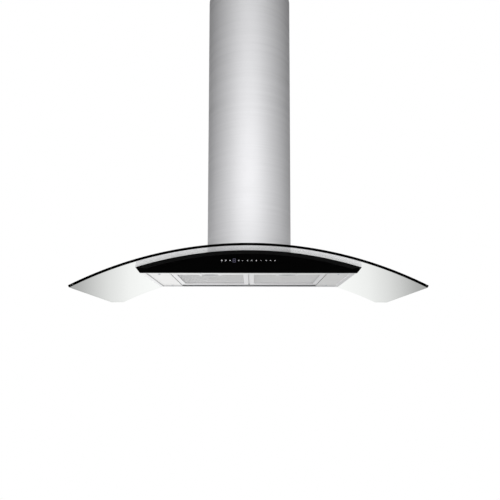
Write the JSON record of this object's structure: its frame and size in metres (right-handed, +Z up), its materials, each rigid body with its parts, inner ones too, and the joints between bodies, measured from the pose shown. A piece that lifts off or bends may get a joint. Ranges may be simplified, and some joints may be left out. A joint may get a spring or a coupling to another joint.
{
  "type": "range hood",
  "caption": "Wall-hung range hood: curved glass canopy over a shallow steel body with a black touch fascia, drop-down grease filters and a round-fronted telescopic chimney.",
  "frame": {"origin": "centre of the four wall holes, on the wall plane", "axes": "+X to the right seen from the room, +Y into the wall, +Z up"},
  "size_m": [0.9, 0.5, 1.0344],
  "materials": {
    "brushed_steel": "brushed stainless sheet",
    "galvanised_sheet": "galvanised sheet",
    "canopy_glass": "clear toughened glass, dark polished front edge",
    "black_glass": "black back-printed glass",
    "black_plastic": "moulded polypropylene",
    "grey_plastic": "moulded ABS",
    "white_plastic": "moulded nylon",
    "lamp_lens": "frosted polycarbonate",
    "display_window": "display module",
    "circuit_board": "solder-masked board",
    "aluminium_mesh": "expanded mesh",
    "aluminium_sheet": "satin",
    "motor_steel": "powder-coated steel",
    "rubber": "matt",
    "screw_steel": "zinc plated"
  },
  "bodies": {
    "hood": {"glass_canopy": "canopy_glass", "glass_gasket": "rubber", "glass_clamps": "galvanised_sheet", "clamp_screws": "screw_steel", "casing": "brushed_steel", "casing_top": "brushed_steel", "rear_duct": "brushed_steel", "panel_posts": "galvanised_sheet", "panel_screws": "screw_steel", "fascia_glass": "black_glass", "fascia_bracket": "galvanised_sheet", "touch_board": "circuit_board", "display_module": "display_window", "underside_panel": "brushed_steel", "filter_rail": "brushed_steel", "filter_ledge": "motor_steel", "lamp_housings": "grey_plastic", "lamp_lenses": "lamp_lens", "lamp_boards": "circuit_board", "wall_plate": "galvanised_sheet", "blower_box": "galvanised_sheet", "blower_deck": "galvanised_sheet", "foot_screws": "screw_steel", "scroll_left": "black_plastic", "scroll_right": "black_plastic", "outlet_adapter": "black_plastic", "motor": "motor_steel", "motor_bracket": "galvanised_sheet", "motor_grommets": "rubber", "motor_bolts": "screw_steel", "outlet_collar": "black_plastic", "damper_pin": "screw_steel", "electronics_box": "black_plastic", "electronics_lid": "black_plastic", "control_board": "circuit_board", "capacitor": "aluminium_sheet", "capacitor_clip": "galvanised_sheet", "terminal_block": "white_plastic", "cable_gland": "grey_plastic", "lower_cover": "brushed_steel", "guide_strips": "white_plastic", "cover_brackets": "galvanised_sheet"},
    "impeller": {"impeller": "black_plastic", "motor_shaft": "screw_steel", "shaft_clip": "screw_steel"},
    "damper_left": {"damper_flap_left": "black_plastic"},
    "damper_right": {"damper_flap_right": "black_plastic"},
    "filter_left": {"filter_frame_left": "aluminium_sheet", "filter_mesh_left": "aluminium_mesh", "filter_pins_left": "screw_steel"},
    "filter_right": {"filter_frame_right": "aluminium_sheet", "filter_mesh_right": "aluminium_mesh", "filter_pins_right": "screw_steel"},
    "latch_left": {"filter_latch_left": "grey_plastic"},
    "latch_right": {"filter_latch_right": "grey_plastic"},
    "upper_chimney": {"upper_cover": "brushed_steel", "ceiling_bracket": "galvanised_sheet", "ceiling_screws": "screw_steel"}
  },
  "joints": [
    {"name": "impeller_spin", "type": "hinge", "parent": "hood", "child": "impeller", "pos_m": [0, -0.112, -0.02], "axis": [1, 0, 0], "continuous": true},
    {"name": "damper_left_swing", "type": "hinge", "parent": "hood", "child": "damper_left", "pos_m": [0, -0.14, 0.128], "axis": [0, 1, 0], "range_deg": [0, 78]},
    {"name": "damper_right_swing", "type": "hinge", "parent": "hood", "child": "damper_right", "pos_m": [0, -0.14, 0.128], "axis": [0, -1, 0], "range_deg": [0, 78]},
    {"name": "filter_left_drop", "type": "hinge", "parent": "hood", "child": "filter_left", "pos_m": [-0.10535, -0.1499, -0.2191], "axis": [1, 0, 0], "range_deg": [0, 70]},
    {"name": "filter_right_drop", "type": "hinge", "parent": "hood", "child": "filter_right", "pos_m": [0.10535, -0.1499, -0.2191], "axis": [1, 0, 0], "range_deg": [0, 70]},
    {"name": "latch_left_slide", "type": "slide", "parent": "filter_left", "child": "latch_left", "axis": [0, 1, 0], "range_m": [0, 0.006], "stiffness_N_per_m": 150, "springref_m": -0.004},
    {"name": "latch_right_slide", "type": "slide", "parent": "filter_right", "child": "latch_right", "axis": [0, 1, 0], "range_m": [0, 0.006], "stiffness_N_per_m": 150, "springref_m": -0.004},
    {"name": "chimney_slide", "type": "slide", "parent": "hood", "child": "upper_chimney", "axis": [0, 0, 1], "range_m": [0, 0.3]}
  ]
}
